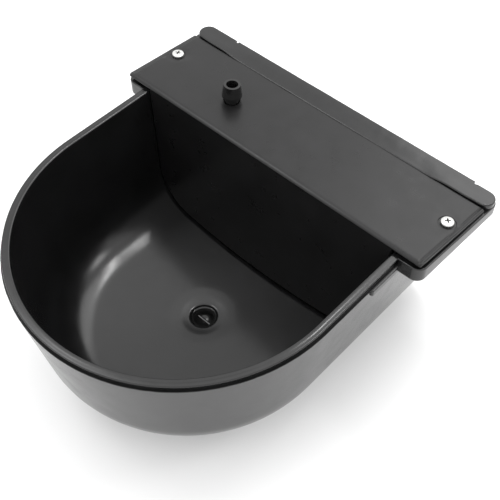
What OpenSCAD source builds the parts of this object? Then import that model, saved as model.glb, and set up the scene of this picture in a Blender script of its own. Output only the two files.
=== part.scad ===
// Wall-hung drinking bowl for livestock, filled by a float valve under a removable cover.
// The origin is at the centre of the footprint, on the plane that the feet stand on.
// +Z is up, -Y is the drinking side and +Y faces the wall.

/* [Bowl] */
// Height of the rim above the base
rim_z = 122; // [120:1:130]
// Outer radius of the rim, half the width of the basin
rim_r = 111; // [108:1:114]
// Width of the flat top of the rim
rim_w = 5.2; // [5:0.1:6]
// Height of the band around the rim
band_h = 4.6; // [3.8:0.2:5]
// Outward step from the rim band to the outer wall
ledge_w = 1.2; // [0.8:0.1:1.4]
// Straight length of the basin, from the centre of the front arc to the cover
basin_len = 68.5; // [64:0.5:74]
// Depth of the float bay, from the cover's front edge to the wall face
bay_depth = 79.5; // [79:0.5:84]
// Depth of the basin below the rim at the drain
basin_depth = 105; // [100:1:107]
// Thickness of the basin's floor and rear wall
wall = 3.8; // [3.4:0.1:4.2]
// Draft of the inner side walls in degrees
draft = 6; // [5.5:0.5:6.5]
// Draft of the outer side walls in degrees
outer_draft = 7.5; // [7:0.5:7.5]
// Fillet radius between the inner wall and the floor
fillet_r = 35; // [33:1:37]
// Fillet radius between the outer wall and the underside
outer_fillet_r = 44; // [42:1:45]
// Radius of the dished floor
dish_r = 450; // [400:10:600]

/* [Rear shelf] */
// Width of the shelf that carries the cover
shelf_w = 254.4; // [253:0.2:256]
// Height of the shelf band
shelf_h = 11.2; // [10:0.2:13]
// Outward run of the shelf's right side from front to rear
shelf_flare = 2; // [0:0.2:2.4]
// Corner radius of the shelf
shelf_corner_r = 6.5; // [6:0.5:7.1]
// Drop of the shelf's top edge from front to rear
shelf_drop = 3.1; // [3:0.1:3.5]
// Thickness of the shelf's outer wall
shelf_wall = 3; // [2.5:0.1:3.5]
// Length of the raised pad beside each end of the shelf
pad_len = 25; // [20:1:30]
// Height of the raised pad
pad_h = 4.4; // [4:0.1:5]

/* [Cover] */
// Width of the cover at its front edge
cover_w = 251; // [250:0.2:252]
// Outward run of the cover's right side from front to rear
cover_flare = 1.6; // [0:0.2:2]
// Depth of the cover
cover_d = 64.6; // [64:0.1:65]
// Thickness of the cover and its baffle
cover_t = 2.2; // [2:0.1:2.3]
// Height of the cover's front edge above the rim
cover_rise = 4.9; // [4.5:0.1:5.2]
// Slope of the cover down to the rear in degrees
cover_tilt = 4.25; // [4.2:0.05:4.5]
// Distance of each cover screw from the centre line
screw_x = 116.8; // [116:0.1:117]
// Distance of the cover screws from the cover's front edge
screw_v = 39.3; // [35:0.1:42]
// Gap between the baffle and the basin's sides
baffle_side_gap = 1.2; // [1:0.1:2]
// Gap under the baffle that the water runs through
baffle_foot_gap = 2.6; // [2:0.1:3.5]

/* [Float valve] */
// Distance of the inlet from the centre line
inlet_x = -54.5; // [-56:0.1:-50]
// Distance of the inlet from the cover's front edge
inlet_v = 30; // [29:0.1:31]
// Height of the hose barb above the cover
barb_h = 13.4; // [13:0.1:16]
// Outer radius of the barb's shoulder, for a 13 mm hose
barb_r = 7; // [6.8:0.05:7.2]
// Radius of the inlet's bore
inlet_bore_r = 4.1; // [3.8:0.05:4.3]
// Distance from the lever's pivot to the piston
piston_arm = 12; // [12:0.1:12.5]
// Angle of the lever below the cover's plane with the float down, in degrees
lever_rest = 8; // [7:0.5:8]
// Length of the float
float_len = 78; // [70:1:80]
// Width of the float
float_w = 44; // [38:1:44]
// Height of the float's hollow half
float_h = 21; // [18:1:22]

/* [Drain and wall fixings] */
// Distance of the drain behind the centre of the front arc
drain_back = 7.5; // [0:0.5:10]
// Radius of the drain hole
drain_r = 9; // [8:0.5:9]
// Radius of the two holes for the wall screws
wall_hole_r = 4.25; // [3.25:0.25:4.5]
// Distance between the two wall holes
wall_hole_spacing = 160; // [140:2:164]
// Depth of the wall holes below the rim
wall_hole_drop = 28; // [26:1:34]

/* [Hidden] */
$fn = 96;
eps = 0.01;
play = 0.05;
arc_overlap = 0.02;

depth = basin_len + rim_r + bay_depth;
back_y = depth / 2;
cover_y = back_y - bay_depth;
arc_y = cover_y - basin_len;
floor_z = rim_z - basin_depth;
inner_r = rim_r - rim_w;
ledge_z = rim_z - band_h;
outer_r = rim_r + ledge_w;
drain_y = arc_y + drain_back;
cap_d = 14.3;
cap_y = back_y - cap_d;
cap_z = rim_z - shelf_drop;
cap_h = 4.6;
cap_w = 254.6;

black = [0.07, 0.07, 0.075];
dark_rubber = [0.12, 0.12, 0.12];
zinc = [0.85, 0.85, 0.84];
steel = [0.72, 0.73, 0.74];
brass = [0.78, 0.62, 0.28];
acetal = [0.9, 0.9, 0.87];

// ---- Section of the basin: drafted wall, fillet and dished floor ----

// Height of the fillet's centre from the section's top, where it touches both the wall and the dish
function fillet_u(r_top, top, slope, fr, dr, base) =
    let (t = tan(slope), a = r_top - fr / cos(slope), b = base - top + dr)
    let (qa = 1 + t * t, qb = 2 * (a * t - b), qc = a * a + b * b - (dr - fr) * (dr - fr))
    (-qb - sqrt(qb * qb - 4 * qa * qc)) / (2 * qa);

// Right half of the section, of radius r_top at the height top; base is the height of its lowest point.
// The fillet's circle is a hair large, so that it crosses the wall and the dish instead of touching them.
module half_section(r_top, top, slope, fr, dr, base) {
    t = tan(slope);
    u = fillet_u(r_top, top, slope, fr, dr, base);
    c = [r_top - fr / cos(slope) + u * t, top + u];
    d = [0, base + dr];
    touch_wall = c + fr * [cos(slope), -sin(slope)];
    touch_dish = d + (c - d) * dr / norm(c - d);
    polygon([[0, c.y], [0, top], [r_top, top], touch_wall, c]);
    translate(c) circle(r = fr + arc_overlap);
    intersection() {
        translate(d) circle(r = dr, $fn = 360);
        polygon([[0, c.y + eps], c + [0, eps], touch_dish, [touch_dish.x, base - 1], [0, base - 1]]);
    }
}

// Half-round front joined to a straight part that ends at rear_y
module basin_form(r_top, top, slope, fr, dr, base, rear_y) {
    translate([0, arc_y, 0])
        rotate([0, 0, 180])
            rotate_extrude(angle = 180) half_section(r_top, top, slope, fr, dr, base);
    translate([0, rear_y, 0])
        rotate([90, 0, 0])
            linear_extrude(rear_y - arc_y) {
                half_section(r_top, top, slope, fr, dr, base);
                mirror([1, 0]) half_section(r_top, top, slope, fr, dr, base);
            }
}

// D-shaped plate of radius r, from height z0 to z1
module d_plate(r, z0, z1) {
    translate([0, 0, z0])
        linear_extrude(z1 - z0) {
            translate([0, arc_y]) circle(r = r);
            translate([-r, arc_y]) square([2 * r, cover_y - arc_y]);
        }
}

// Bar with half-round ends, centred in X
module stadium(w, y0, y1) {
    r = (y1 - y0) / 2;
    translate([-w / 2 + r, y0]) square([w - 2 * r, 2 * r]);
    for (x = [-w / 2 + r, w / 2 - r])
        translate([x, y0 + r]) circle(r = r);
}

// Rectangle with round corners, centred in X
module round_rect(w, y0, y1, r) {
    translate([-w / 2 + r, y0]) square([w - 2 * r, y1 - y0]);
    translate([-w / 2, y0 + r]) square([w, y1 - y0 - 2 * r]);
    for (x = [-w / 2 + r, w / 2 - r], y = [y0 + r, y1 - r])
        translate([x, y]) circle(r = r);
}

// Round rectangle whose right side runs outward by flare from front to rear
module flared_rect(w, y0, y1, r, flare) {
    round_rect(w, y0, y1, r);
    polygon([[0, y0 + r], [w / 2, y0 + r], [w / 2 + flare, y1 - r], [0, y1 - r]]);
    translate([0, y1 - 2 * r]) square([w / 2 + flare - r, 2 * r]);
    translate([w / 2 + flare - r, y1 - r]) circle(r = r);
}

// Places its children in the cover's frame: X across, Y from the front edge back, Z = 0 on its top face
module on_cover() {
    translate([0, cover_y, rim_z + cover_rise]) rotate([-cover_tilt, 0, 0]) children();
}

module at_inlet() {
    on_cover() translate([inlet_x, inlet_v, 0]) children();
}

// ---- Bowl ----

foot_r = 46;
foot_wall = 4;
boss_r = 14;
boss_z = 8.4;
post_r = 5;
post_h = 9.5;
pilot_r = 2.05 + play;
pilot_depth = 10.5;
wall_boss_r = 10;
wall_boss_t = 2.5;
shelf_y = cover_y - 1.6;
shelf_slope = atan(shelf_drop / (cap_y - shelf_y));
pad_reach = 1.3;
pocket_floor = 2.5;
pocket_len = 58;
foot_w = 14;
foot_len = 20;
foot_x = [-52, 38];
sink_r = 20;
sink_depth = 1.2;

module shelf_block() {
    difference() {
        translate([0, 0, rim_z - shelf_h])
            linear_extrude(shelf_h) flared_rect(shelf_w, shelf_y, back_y, shelf_corner_r, shelf_flare);
        translate([0, shelf_y, rim_z])
            rotate([-shelf_slope, 0, 0])
                translate([-shelf_w, -eps, 0]) cube([2 * shelf_w, bay_depth, shelf_h]);
        translate([-shelf_w, cap_y, cap_z]) cube([2 * shelf_w, cap_d + 1, shelf_h]);
    }
}

module rim_pad() {
    translate([rim_r - 2, cover_y - 3 - pad_len, ledge_z - pad_h])
        cube([ledge_w + pad_reach + 2, pad_len, pad_h]);
}

module shelf_pocket() {
    pocket_x = outer_r + 0.9;
    translate([pocket_x, cover_y + 3, rim_z - shelf_h + pocket_floor])
        cube([shelf_w / 2 - shelf_wall - pocket_x, pocket_len, shelf_h]);
}

// Shallow cone around the drain hole, with a wide lead-in at the hole's mouth
module drain_sink() {
    sink_z = floor_z - sink_depth;
    translate([0, drain_y, 0])
        rotate_extrude()
            polygon([[0, sink_z - 1.2], [drain_r, sink_z - 1.2], [drain_r + 1.2, sink_z],
                [sink_r, floor_z + 0.3], [sink_r, floor_z + 3], [0, floor_z + 3]]);
}

module wall_boss(r, y0, len) {
    for (x = [-wall_hole_spacing / 2, wall_hole_spacing / 2])
        translate([x, y0, rim_z - wall_hole_drop]) rotate([-90, 0, 0]) cylinder(r = r, h = len);
}

module bowl_shell() {
    color(black)
    difference() {
        union() {
            difference() {
                union() {
                    basin_form(outer_r, ledge_z, outer_draft, outer_fillet_r, dish_r + wall,
                        floor_z - wall, back_y);
                    d_plate(rim_r, ledge_z - 1, rim_z);
                    rim_pad();
                    mirror([1, 0, 0]) rim_pad();
                    translate([0, drain_y, boss_z]) cylinder(r = boss_r, h = floor_z - boss_z);
                    difference() {
                        translate([0, drain_y, 0]) cylinder(r = foot_r, h = floor_z);
                        translate([0, drain_y, -1]) cylinder(r = foot_r - foot_wall, h = floor_z + 2);
                    }
                    for (x = foot_x)
                        translate([x, back_y - foot_len, 0]) cube([foot_w, foot_len, floor_z + 1]);
                    shelf_block();
                }
                basin_form(inner_r, rim_z, draft, fillet_r, dish_r, floor_z, back_y - wall);
                translate([-shelf_w, shelf_y, rim_z])
                    rotate([-shelf_slope, 0, 0])
                        cube([2 * shelf_w, cap_y - shelf_y, shelf_h]);
                translate([-shelf_w, cap_y - 0.2, cap_z]) cube([2 * shelf_w, cap_d + 1, shelf_h]);
                shelf_pocket();
                mirror([1, 0, 0]) shelf_pocket();
            }
            on_cover()
                for (x = [-screw_x, screw_x])
                    translate([x, screw_v, -cover_t - post_h]) cylinder(r = post_r, h = post_h);
            wall_boss(wall_boss_r, back_y - wall - wall_boss_t, wall_boss_t + 1);
        }
        on_cover()
            for (x = [-screw_x, screw_x])
                translate([x, screw_v, -cover_t - pilot_depth]) cylinder(r = pilot_r, h = pilot_depth + 1);
        wall_boss(wall_hole_r, back_y - 20, 30);
        translate([0, drain_y, -1]) cylinder(r = drain_r, h = rim_z);
        drain_sink();
    }
}

// ---- Cap that closes the rear edge of the bay ----

cap_x = 1.5;
notch_x = [-95.4, 111.2];
notch_w = 2.6;
notch_d = 1.7;
ear_setback = 1.2;
bridge_w = 196;
bridge_reach = 0.6;
bridge_slope = 12;
ear_len = 30;
tongue_w = 196;
hollow_w = 190;
rib_w = 180;

// The cap is a bar with round ends. Two notches split its rear edge, and between its ends it closes up to the cover.
module rear_cap() {
    cover_rear_z = rim_z + cover_rise - cover_d * sin(cover_tilt);
    color(black) {
        difference() {
            union() {
                translate([cap_x, 0, cap_z]) linear_extrude(cap_h) stadium(cap_w, cap_y, back_y);
                translate([-bridge_w / 2, cap_y - bridge_reach, cap_z])
                    cube([bridge_w, 3, cover_rear_z - cap_z]);
            }
            for (x = notch_x)
                translate([x - notch_w / 2, back_y - notch_d, cap_z - 1])
                    cube([notch_w, cap_d, cap_h + 2]);
            translate([notch_x[1], back_y - ear_setback, cap_z - 1]) cube([ear_len, cap_d, cap_h + 2]);
            translate([-bridge_w / 2, cap_y - 1, cover_rear_z])
                rotate([bridge_slope, 0, 0]) translate([0, -1, 0]) cube([bridge_w, cap_d, cap_h]);
            translate([-hollow_w / 2, cap_y + 3, cap_z - 1]) cube([hollow_w, cap_d - 7, 3]);
        }
        translate([-tongue_w / 2, cap_y - 4, cap_z - 3]) cube([tongue_w, 7, 2.8]);
        translate([-tongue_w / 2, cap_y + eps, cap_z - 1]) cube([tongue_w, 2.8, 2]);
        translate([-rib_w / 2, back_y - wall - 2.6, cap_z - 7]) cube([rib_w, 2.4, 10.5]);
    }
}

// ---- Cover with its baffle, one bent plate ----

lip_r = 2.2;
lip_drop = 0.5;
lip_w = 2;
recess_r = 5.6;
recess_d = 0.8;
neck_r = 5.3;
flange_screw_v = 17;
flange_top = -cover_t - 1.5;

// Strip under one side edge of the cover
module side_lip(flare) {
    x = cover_w / 2;
    translate([0, 0, -cover_t - lip_drop])
        linear_extrude(lip_drop + 1)
            polygon([[x - lip_w, 1.5], [x, 1.5], [x + flare, cover_d - 1.5], [x + flare - lip_w, cover_d - 1.5]]);
}

module cover() {
    baffle_r = inner_r - baffle_side_gap;
    baffle_z = floor_z + baffle_foot_gap;
    color(black)
    on_cover() difference() {
        union() {
            translate([0, 0, -cover_t])
                linear_extrude(cover_t) flared_rect(cover_w, 0, cover_d, 1.5, cover_flare);
            side_lip(cover_flare);
            mirror([1, 0, 0]) side_lip(0);
            translate([0, cover_t, -rim_z - cover_rise])
                rotate([90, 0, 0])
                    linear_extrude(cover_t) {
                        half_section(baffle_r, rim_z, draft, fillet_r, dish_r, baffle_z);
                        mirror([1, 0]) half_section(baffle_r, rim_z, draft, fillet_r, dish_r, baffle_z);
                        translate([-baffle_r, rim_z - 1])
                            square([2 * baffle_r, cover_rise - cover_t + 2]);
                    }
            for (v = [inlet_v - flange_screw_v, inlet_v + flange_screw_v])
                translate([inlet_x, v, flange_top]) cylinder(r = 3.6, h = 2);
        }
        difference() {
            translate([-cover_w, -1, -lip_r]) cube([2 * cover_w, lip_r + 1, lip_r + 1]);
            translate([-cover_w, lip_r, -lip_r]) rotate([0, 90, 0]) cylinder(r = lip_r, h = 2 * cover_w);
        }
        for (x = [-screw_x, screw_x])
            translate([x, screw_v, 0]) {
                translate([0, 0, -recess_d]) cylinder(r = recess_r, h = 5);
                translate([0, 0, -10]) cylinder(r = 2.3, h = 12);
            }
        translate([inlet_x, inlet_v, -10]) cylinder(r = neck_r + 0.4, h = 12);
        for (v = [inlet_v - flange_screw_v, inlet_v + flange_screw_v])
            translate([inlet_x, v, flange_top - 1]) cylinder(r = 1.5, h = 4.2);
    }
}

// Pan head with a cross recess, its seat at z = 0 and its shank down
module pan_screw(head_r, head_h, shank_r, shank_l) {
    dome_r = (head_r * head_r + head_h * head_h) / (2 * head_h);
    difference() {
        union() {
            intersection() {
                cylinder(r = head_r, h = head_h);
                translate([0, 0, head_h - dome_r]) sphere(r = dome_r);
            }
            translate([0, 0, -shank_l]) cylinder(r = shank_r, h = shank_l + 0.5);
        }
        for (turn = [0, 90])
            rotate([0, 0, turn])
                translate([-head_r * 0.55, -head_r * 0.12, head_h * 0.45])
                    cube([head_r * 1.1, head_r * 0.24, head_h]);
    }
}

module cover_screws() {
    color(zinc)
    on_cover()
        for (x = [-screw_x, screw_x])
            translate([x, screw_v, -recess_d]) rotate([0, 0, 45]) pan_screw(4.3, 2.9, 2.05, 11.9);
}

// ---- Float valve, hung under the cover ----

flange_t = 3;
flange_bottom = flange_top - flange_t;
barrel_r = 9;
barrel_bottom = -30;
nozzle_top = -10;
nozzle_seat = -16;
nozzle_tip = -18.1;
piston_bore_r = 6.5;
pivot_w = -37;
pin_r = 1.5;
mouth_r = 5.8;
cheek_in = 4.3;
cheek_t = 3;
cheek_r = 5;
flange_r = 12;
ear_r = 6;
window_w = 8;
window_z = -22;
window_h = 4.5;

// One of the two plates that carry the lever's pin
module cheek() {
    translate([-piston_arm - cheek_r, cheek_in, pivot_w + 1])
        cube([2 * cheek_r + 1, cheek_t, flange_bottom - pivot_w]);
    translate([-piston_arm, cheek_in, pivot_w]) rotate([-90, 0, 0]) cylinder(r = cheek_r, h = cheek_t);
}

module valve_body() {
    shoulder_z = barb_h - 8.6;
    color(black)
    at_inlet() difference() {
        union() {
            rotate_extrude()
                polygon([[0, flange_bottom], [neck_r, flange_bottom], [neck_r, shoulder_z - 2],
                    [barb_r, shoulder_z - 0.6], [barb_r, shoulder_z + 0.6], [mouth_r, barb_h], [0, barb_h]]);
            translate([0, 0, flange_bottom]) cylinder(r = flange_r, h = flange_t);
            translate([0, 0, flange_bottom])
                linear_extrude(flange_t) {
                    translate([-ear_r, -flange_screw_v]) square([2 * ear_r, 2 * flange_screw_v]);
                    for (v = [-flange_screw_v, flange_screw_v])
                        translate([0, v]) circle(r = ear_r);
                }
            translate([0, 0, barrel_bottom]) cylinder(r = barrel_r, h = flange_bottom - barrel_bottom + 1);
            cheek();
            mirror([0, 1, 0]) cheek();
        }
        translate([0, 0, nozzle_top - 1]) cylinder(r = inlet_bore_r, h = 40);
        translate([0, 0, nozzle_seat - 1]) cylinder(r = 5.5, h = nozzle_top - nozzle_seat + 1);
        translate([0, 0, barrel_bottom - 1])
            cylinder(r = piston_bore_r, h = nozzle_seat - barrel_bottom + 1);
        translate([-window_w / 2, -15, window_z]) cube([window_w, 30, window_h]);
        translate([-piston_arm, 20, pivot_w]) rotate([90, 0, 0]) cylinder(r = pin_r + 0.02, h = 40);
        for (v = [-flange_screw_v, flange_screw_v])
            translate([0, v, flange_bottom - 1]) cylinder(r = 1.7, h = 10);
    }
}

module valve_gasket() {
    color(dark_rubber)
    at_inlet() translate([0, 0, flange_top])
        difference() {
            cylinder(r = flange_r, h = -cover_t - flange_top);
            translate([0, 0, -1]) cylinder(r = neck_r + 0.3, h = 5);
        }
}

module valve_screws() {
    color(steel)
    at_inlet()
        for (v = [-flange_screw_v, flange_screw_v])
            translate([0, v, flange_bottom]) rotate([180, 0, 0]) pan_screw(3, 1.9, 1.45, 5.8);
}

module nozzle() {
    color(acetal)
    at_inlet() rotate_extrude()
        polygon([[1.5, nozzle_tip], [2.6, nozzle_tip], [3.5, nozzle_seat], [5.45, nozzle_seat],
            [5.45, nozzle_top], [3.2, nozzle_top], [1.5, nozzle_top - 3]]);
}

seal_top = nozzle_tip - 3.4;
seal_t = 2;
piston_top = seal_top - 0.8;
piston_bottom = -34.45;

module piston() {
    color(acetal)
    at_inlet() difference() {
        translate([0, 0, piston_bottom]) cylinder(r = piston_bore_r - play, h = piston_top - piston_bottom);
        translate([0, 0, seal_top - seal_t]) cylinder(r = 4.5, h = 5);
    }
}

module piston_seal() {
    color(dark_rubber)
    at_inlet() translate([0, 0, seal_top - seal_t]) cylinder(r = 4.45, h = seal_t);
}

// ---- Lever and float, drawn with the pivot at the origin and the bar along +X ----

bar_h = 6;
bar_w = 7.6;
bolt_x = 103;
bar_len = bolt_x + 8;
bolt_r = 2.5;
float_top = -12;
lid_t = 3;
float_wall = 1.8;
insert_top = -8.5;

module at_lever() {
    at_inlet() translate([-piston_arm, 0, pivot_w]) rotate([0, lever_rest, 0]) children();
}

module lever() {
    color(black)
    at_lever() difference() {
        union() {
            rotate([90, 0, 0]) cylinder(r = 4, h = 2 * cheek_in - 0.4, center = true);
            translate([0, -bar_w / 2, -bar_h / 2]) cube([bar_len - 6, bar_w, bar_h]);
            translate([bar_len - 8, 0, -bar_h / 2]) cylinder(r = 8, h = bar_h);
            translate([piston_arm, 0, 1.5])
                rotate([90, 0, 0]) cylinder(r = 2.5, h = bar_w, center = true);
        }
        rotate([90, 0, 0]) cylinder(r = pin_r + play, h = 20, center = true);
        translate([bolt_x, 0, -10]) cylinder(r = bolt_r + play, h = 20);
        for (side = [-1, 1])
            translate([24, side * (bar_w / 2 + 1.2) - 2, -2]) cube([bolt_x - 44, 4, 4]);
    }
}

module lever_pin() {
    color(steel)
    at_lever() {
        rotate([90, 0, 0]) cylinder(r = pin_r, h = 18, center = true);
        translate([0, cheek_in + cheek_t + 0.1, 0]) rotate([-90, 0, 0]) cylinder(r = 2.8, h = 1.5);
    }
}

module pin_clip() {
    color(steel)
    at_lever() translate([0, -cheek_in - cheek_t - 0.2, 0]) rotate([90, 0, 0]) difference() {
        cylinder(r = 3.4, h = 0.8);
        translate([0, 0, -1]) cylinder(r = pin_r + 0.03, h = 3);
        translate([-1, -6, -1]) cube([2, 6, 3]);
    }
}

module float_outline(inset) {
    r = 9 - inset;
    translate([bolt_x, 0])
        round_rect(float_len - 2 * inset, -float_w / 2 + inset, float_w / 2 - inset, r);
}

module float_shell() {
    base = float_top - lid_t - float_h;
    color(acetal)
    at_lever() difference() {
        translate([0, 0, base]) linear_extrude(float_h) float_outline(0);
        translate([0, 0, base + float_wall]) linear_extrude(float_h) float_outline(float_wall);
    }
}

module float_lid() {
    spigot = 2;
    color(acetal)
    at_lever() difference() {
        union() {
            translate([0, 0, float_top - lid_t]) linear_extrude(lid_t) float_outline(0);
            translate([0, 0, float_top - lid_t - spigot])
                linear_extrude(spigot + 1) float_outline(float_wall + 0.1);
            translate([bolt_x, 0, float_top - 1]) cylinder(r = 7, h = insert_top - float_top + 1);
            translate([bolt_x, 0, float_top - lid_t - 6]) cylinder(r = 7, h = 6);
        }
        difference() {
            translate([0, 0, float_top - lid_t - spigot - 1])
                linear_extrude(spigot + 1) float_outline(float_wall + 1.6);
            translate([bolt_x, 0, float_top - 20]) cylinder(r = 7, h = 20);
        }
        translate([bolt_x, 0, insert_top - 10]) cylinder(r = 4.5, h = 20);
    }
}

module float_insert() {
    color(brass)
    at_lever() translate([bolt_x, 0, insert_top - 10]) difference() {
        cylinder(r = 4.45, h = 10);
        translate([0, 0, 1.5]) cylinder(r = bolt_r + play, h = 20);
    }
}

module hexagon(flats, h) {
    cylinder(r = flats / 2 / cos(30), h = h, $fn = 6);
}

module float_bolt() {
    color(steel)
    at_lever() translate([bolt_x, 0, bar_h / 2 + 1]) {
        hexagon(8, 3.5);
        translate([0, 0, -19.5]) cylinder(r = bolt_r, h = 20);
    }
}

module float_washer() {
    color(steel)
    at_lever() translate([bolt_x, 0, bar_h / 2]) difference() {
        cylinder(r = 5, h = 1);
        translate([0, 0, -1]) cylinder(r = bolt_r + play, h = 5);
    }
}

module float_nut() {
    color(steel)
    at_lever() translate([bolt_x, 0, -bar_h / 2 - 4]) difference() {
        hexagon(8, 4);
        translate([0, 0, -1]) cylinder(r = bolt_r + play, h = 6);
    }
}

// ---- Drain ----

gasket_t = 1.6;
plug_top = floor_z - 2;
cup_r = 5.8;
cup_depth = 7;
grip_bar_w = 2.4;
grip_bar_h = 3.6;
plug_flange_t = 2.6;
plug_flange_z = boss_z - gasket_t - plug_flange_t;
plug_grip_z = 1;

module drain_plug() {
    color(black)
    translate([0, drain_y, 0]) {
        difference() {
            union() {
                translate([0, 0, plug_flange_z]) cylinder(r = drain_r - play, h = plug_top - plug_flange_z);
                translate([0, 0, plug_flange_z]) cylinder(r = boss_r - 1, h = plug_flange_t);
                translate([0, 0, plug_grip_z]) hexagon(17, plug_flange_z - plug_grip_z + 1);
            }
            translate([0, 0, plug_top - cup_depth]) cylinder(r = cup_r, h = cup_depth + 1);
        }
        translate([-cup_r - 0.5, -grip_bar_w / 2, plug_top - cup_depth - 0.5])
            cube([2 * cup_r + 1, grip_bar_w, grip_bar_h]);
    }
}

module drain_gasket() {
    color(dark_rubber)
    translate([0, drain_y, boss_z - gasket_t]) difference() {
        cylinder(r = boss_r - 1, h = gasket_t);
        translate([0, 0, -1]) cylinder(r = drain_r, h = 5);
    }
}

bowl_shell();
rear_cap();
cover();
cover_screws();
valve_body();
valve_gasket();
valve_screws();
nozzle();
piston();
piston_seal();
lever();
lever_pin();
pin_clip();
float_shell();
float_lid();
float_insert();
float_bolt();
float_washer();
float_nut();
drain_plug();
drain_gasket();
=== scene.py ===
"""Looks for the float-valve drinking bowl: glossy black moulded plastic, zinc screws, a plain white studio.

Lengths are written in millimetres and turned into metres when a mesh is made. The frame is the CAD's:
X across, -Y the drinking side, +Y the wall, Z up from the plane under the feet.
"""

import math

import bpy
import bmesh
from mathutils import Matrix, Vector, geometry


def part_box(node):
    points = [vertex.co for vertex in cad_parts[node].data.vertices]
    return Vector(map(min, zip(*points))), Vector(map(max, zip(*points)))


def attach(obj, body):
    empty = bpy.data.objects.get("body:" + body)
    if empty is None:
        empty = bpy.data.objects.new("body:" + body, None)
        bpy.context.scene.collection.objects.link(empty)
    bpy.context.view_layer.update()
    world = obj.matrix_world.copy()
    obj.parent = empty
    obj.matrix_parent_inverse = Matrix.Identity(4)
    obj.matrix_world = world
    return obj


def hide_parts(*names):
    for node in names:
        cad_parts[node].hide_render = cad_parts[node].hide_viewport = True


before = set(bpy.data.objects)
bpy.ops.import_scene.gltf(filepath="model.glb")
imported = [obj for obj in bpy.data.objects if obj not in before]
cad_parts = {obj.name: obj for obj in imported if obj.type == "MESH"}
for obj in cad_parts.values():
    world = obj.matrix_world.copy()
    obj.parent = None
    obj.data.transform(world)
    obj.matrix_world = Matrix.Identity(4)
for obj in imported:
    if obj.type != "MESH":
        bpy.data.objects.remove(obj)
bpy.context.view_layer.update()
MM = 0.001

# ---- Dimensions shared with the CAD, in millimetres ----

BACK_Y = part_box("bowl_shell")[1].y / MM
RIM_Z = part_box("bowl_shell")[1].z / MM
COVER_Y = BACK_Y - 79.5
ARC_Y = COVER_Y - 68.5
CAP_X, CAP_Y, CAP_Z, CAP_H, CAP_W = 1.5, BACK_Y - 14.3, RIM_Z - 3.1, 4.6, 254.6
NOTCH_X, NOTCH_D, EAR_SETBACK, BRIDGE_W, BRIDGE_REACH = (-95.4, 111.2), 1.7, 1.2, 196.0, 0.6
RIM_R, INNER_R, OUTER_R, LEDGE_Z = 111.0, 105.8, 112.2, RIM_Z - 4.6
DRAFT, OUTER_DRAFT = math.radians(6), math.radians(7.5)
WALL, FILLET_R, OUTER_FILLET_R, DISH_R, FLOOR_Z = 3.8, 35.0, 44.0, 450.0, RIM_Z - 105
SHELF_W, SHELF_FLARE, SHELF_H, SHELF_CORNER_R = 254.4, 2.0, 11.2, 6.5
SHELF_DROP, SHELF_Y = 3.1, COVER_Y - 1.6
PAD_H, PAD_D, PAD_REACH = 4.4, 26.4, 1.3
PATCH_R, UNDER_R = 56.0, 50.0
COVER_W, COVER_FLARE, COVER_D, COVER_T, COVER_RISE = 251.0, 1.6, 64.6, 2.2, 4.9
TILT, NOSE, LIP, REAR_EDGE = math.radians(4.25), 4.0, 1.1, 0.55
SCREW_X, SCREW_V, RECESS_R, RECESS_D, HEAD_R, HEAD_H = 116.8, 39.3, 5.6, 0.8, 4.3, 2.6
INLET_X, INLET_V, INLET_R = -54.5, 30.0, 6.1
WALL_HOLE_X, WALL_HOLE_DROP, WALL_HOLE_R = 80.0, 28.0, 4.25
REAR_FEET_X, REAR_FOOT_W, REAR_FOOT_D = (-52.0, 38.0), 14.0, 20.0
DRAIN_Y, DRAIN_R, BOSS_R, BOSS_Z, FOOT_R, SINK_DEPTH = ARC_Y + 7.5, 9.0, 14.0, 8.4, 46.0, 1.2


# ---- Materials ----


def principled(name, **sockets):
    """A material with its constant values set on the shader's own sockets."""
    mat = bpy.data.materials.new(name)
    mat.use_nodes = True
    shader = mat.node_tree.nodes["Principled BSDF"]
    for socket, value in sockets.items():
        shader.inputs[socket.replace("_", " ")].default_value = value
    return mat, mat.node_tree, shader


def noise(tree, scale, detail=4.0, rough=0.55):
    coords = tree.nodes.new("ShaderNodeTexCoord")
    made = tree.nodes.new("ShaderNodeTexNoise")
    made.inputs["Scale"].default_value = scale
    made.inputs["Detail"].default_value = detail
    made.inputs["Roughness"].default_value = rough
    tree.links.new(coords.outputs["Object"], made.inputs["Vector"])
    return made.outputs["Fac"]


def remap(tree, value, lo, hi, socket, from_lo=0.3, from_hi=0.7):
    """Sends a 0..1 pattern to a shader socket as lo..hi."""
    made = tree.nodes.new("ShaderNodeMapRange")
    made.inputs["From Min"].default_value = from_lo
    made.inputs["From Max"].default_value = from_hi
    made.inputs["To Min"].default_value = lo
    made.inputs["To Max"].default_value = hi
    tree.links.new(value, made.inputs["Value"])
    tree.links.new(made.outputs["Result"], socket)


def blend_colours(tree, value, dark, light, socket):
    ramp = tree.nodes.new("ShaderNodeValToRGB")
    ramp.color_ramp.elements[0].color = (*dark, 1)
    ramp.color_ramp.elements[0].position = 0.3
    ramp.color_ramp.elements[1].color = (*light, 1)
    ramp.color_ramp.elements[1].position = 0.7
    tree.links.new(value, ramp.inputs["Fac"])
    tree.links.new(ramp.outputs["Color"], socket)


def bump(tree, value, height, shader):
    made = tree.nodes.new("ShaderNodeBump")
    made.inputs["Distance"].default_value = height
    made.inputs["Strength"].default_value = 1.0
    tree.links.new(value, made.inputs["Height"])
    tree.links.new(made.outputs["Normal"], shader.inputs["Normal"])


def plastic(name, dark, light, rough, fine=1400.0, specular=0.5):
    """Moulded plastic: faint mottling, gloss that varies, and a very fine skin."""
    mat, tree, shader = principled(name, IOR=1.5, Specular_IOR_Level=specular)
    blend_colours(tree, noise(tree, 55.0), dark, light, shader.inputs["Base Color"])
    remap(tree, noise(tree, 90.0, 6.0), rough[0], rough[1], shader.inputs["Roughness"])
    bump(tree, noise(tree, fine, 2.0), 0.000004, shader)
    return mat


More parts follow.
